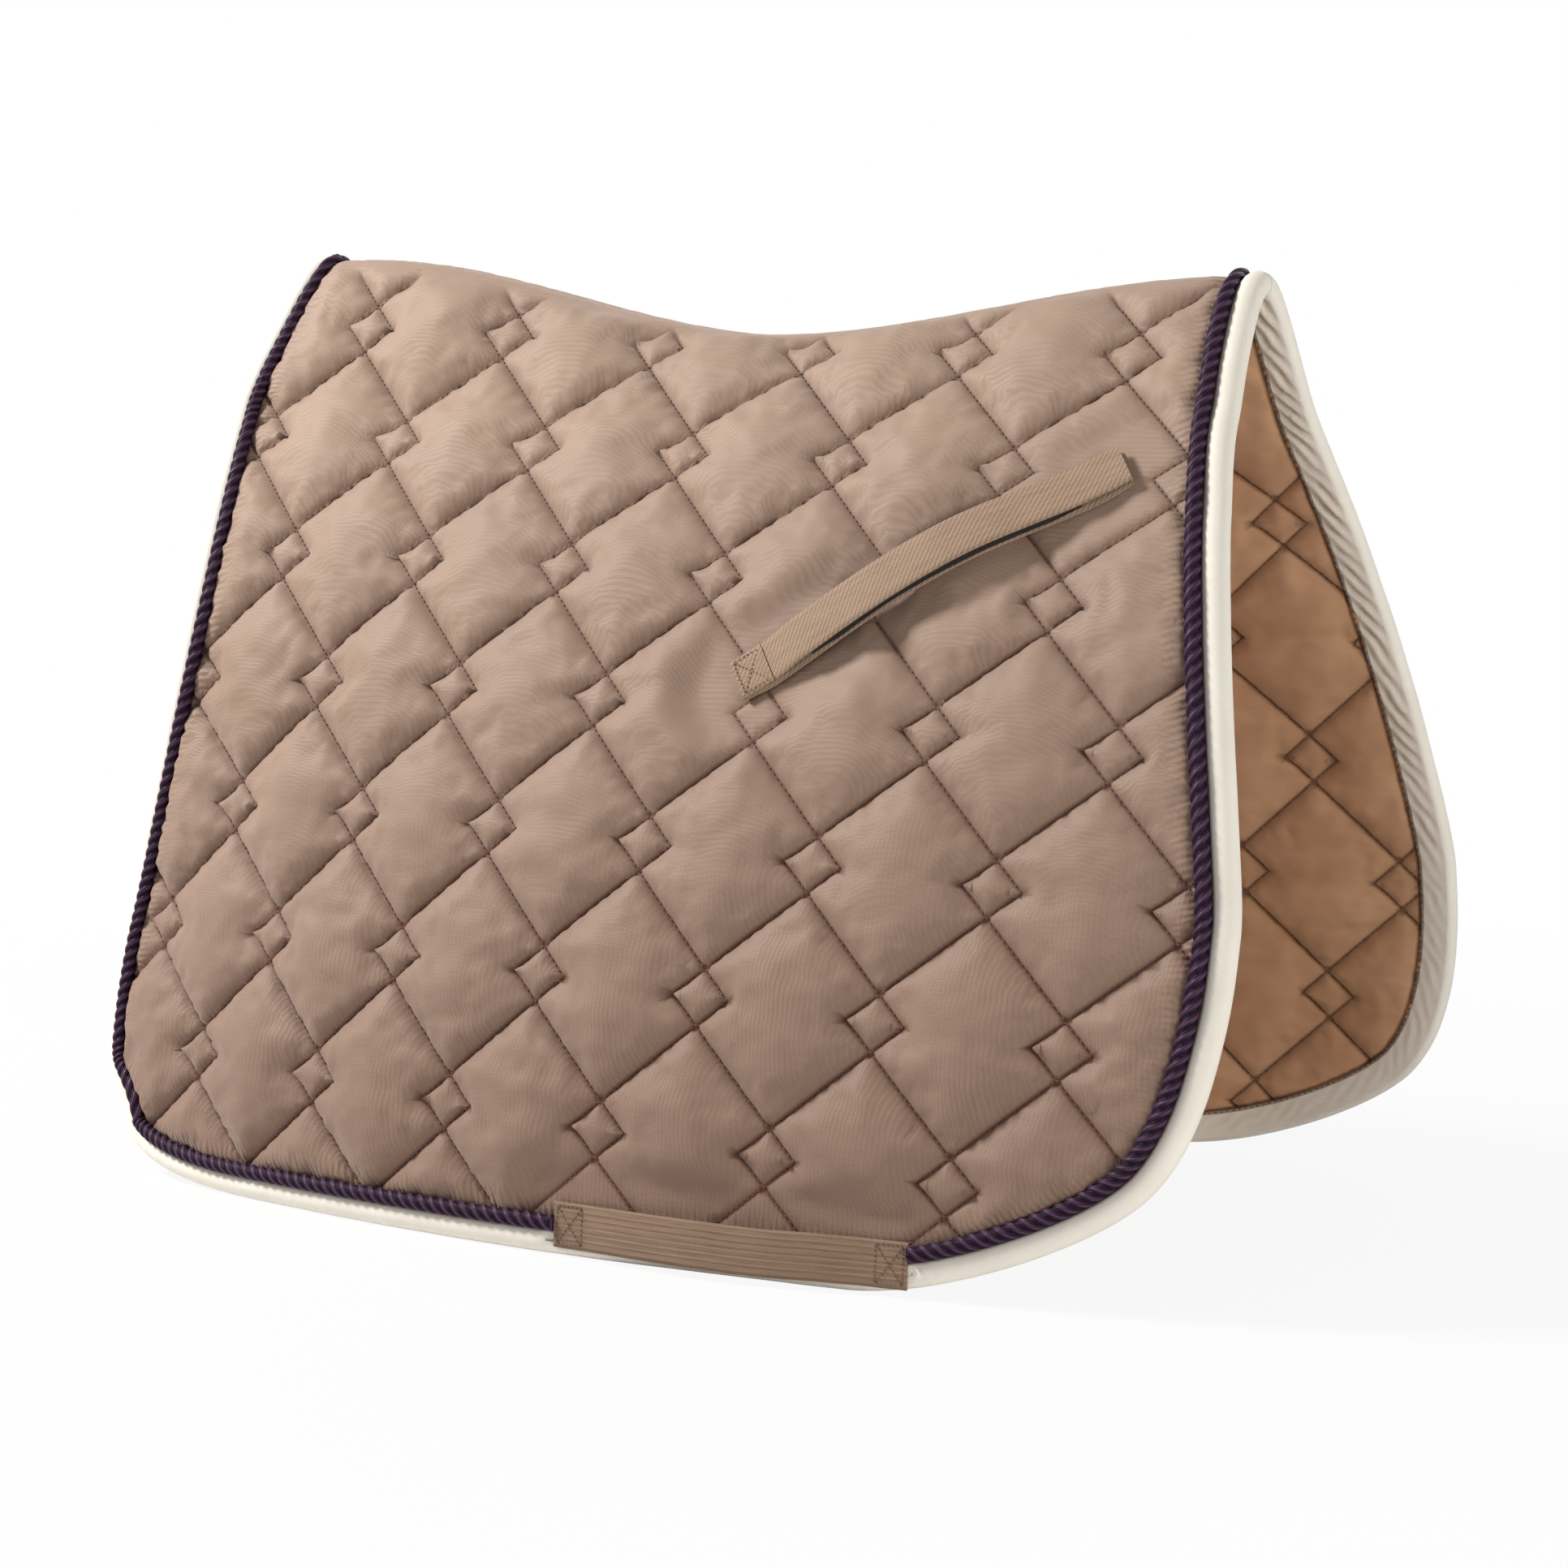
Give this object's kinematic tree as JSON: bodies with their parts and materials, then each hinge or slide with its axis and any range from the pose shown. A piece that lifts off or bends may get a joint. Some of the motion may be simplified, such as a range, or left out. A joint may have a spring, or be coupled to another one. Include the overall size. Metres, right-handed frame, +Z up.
{
  "type": "dressage saddle pad",
  "caption": "Quilted saddle pad standing as an arch, with bound and corded edge, folding sides, peel-open billet straps and girth keepers.",
  "frame": {"origin": "middle of the footprint, on the surface that the two bound bottom edges stand on", "axes": "+X to the front (the horse's withers), +Y to the left, +Z up"},
  "size_m": [0.7454, 0.486, 0.5637],
  "materials": {
    "twill": "taupe twill, slight sheen",
    "lining": "tan brushed lining, matt",
    "wadding": "off-white wadding, matt",
    "binding": "cream binding tape, matt",
    "cord": "dark aubergine twisted cord, soft sheen",
    "webbing": "beige-brown twill webbing, matt",
    "webbing_dark": "darker brown webbing, matt",
    "hook_and_loop": "black hook and loop tape, matt",
    "thread": "brown sewing thread, soft sheen"
  },
  "bodies": {
    "ridge": {"right_cover_upper": "twill", "right_batting_upper": "wadding", "right_lining_upper": "lining", "left_cover_upper": "twill", "left_batting_upper": "wadding", "left_lining_upper": "lining", "front_arch_binding": "binding", "rear_arch_binding": "binding", "front_arch_cord": "cord", "rear_arch_cord": "cord", "spine_seam_tape": "binding"},
    "right_flap": {"right_cover_lower": "twill", "right_batting_lower": "wadding", "right_lining_lower": "lining", "right_edge_binding": "binding", "right_cord_rear": "cord", "right_cord_front": "cord", "right_girth_keeper": "webbing_dark", "right_keeper_stitch_rear": "thread", "right_keeper_stitch_front": "thread", "right_strap_inner": "webbing", "right_strap_sewn_end": "webbing", "right_loop_tape": "hook_and_loop", "right_strap_stitch_rear": "thread", "right_strap_stitch_front": "thread"},
    "left_flap": {"left_cover_lower": "twill", "left_batting_lower": "wadding", "left_lining_lower": "lining", "left_edge_binding": "binding", "left_cord_rear": "cord", "left_cord_front": "cord", "left_girth_keeper": "webbing_dark", "left_keeper_stitch_rear": "thread", "left_keeper_stitch_front": "thread", "left_strap_inner": "webbing", "left_strap_sewn_end": "webbing", "left_loop_tape": "hook_and_loop", "left_strap_stitch_rear": "thread", "left_strap_stitch_front": "thread"},
    "right_strap": {"right_hook_tape": "hook_and_loop", "right_strap_outer": "webbing"},
    "left_strap": {"left_hook_tape": "hook_and_loop", "left_strap_outer": "webbing"}
  },
  "joints": [
    {"name": "right_flap_fold", "type": "hinge", "parent": "ridge", "child": "right_flap", "pos_m": [0.05264, -0.06653, 0.45315], "axis": [-1, 0, 0], "range_deg": [-8, 60]},
    {"name": "right_strap_peel", "type": "hinge", "parent": "right_flap", "child": "right_strap", "pos_m": [0.09108, -0.15321, 0.32055], "axis": [0.5572, -0.3572, -0.7497], "range_deg": [0, 150]},
    {"name": "left_flap_fold", "type": "hinge", "parent": "ridge", "child": "left_flap", "pos_m": [0.05264, 0.06653, 0.45315], "axis": [1, 0, 0], "range_deg": [-8, 60]},
    {"name": "left_strap_peel", "type": "hinge", "parent": "left_flap", "child": "left_strap", "pos_m": [0.09108, 0.15321, 0.32055], "axis": [-0.5572, -0.3572, 0.7497], "range_deg": [0, 150]}
  ]
}
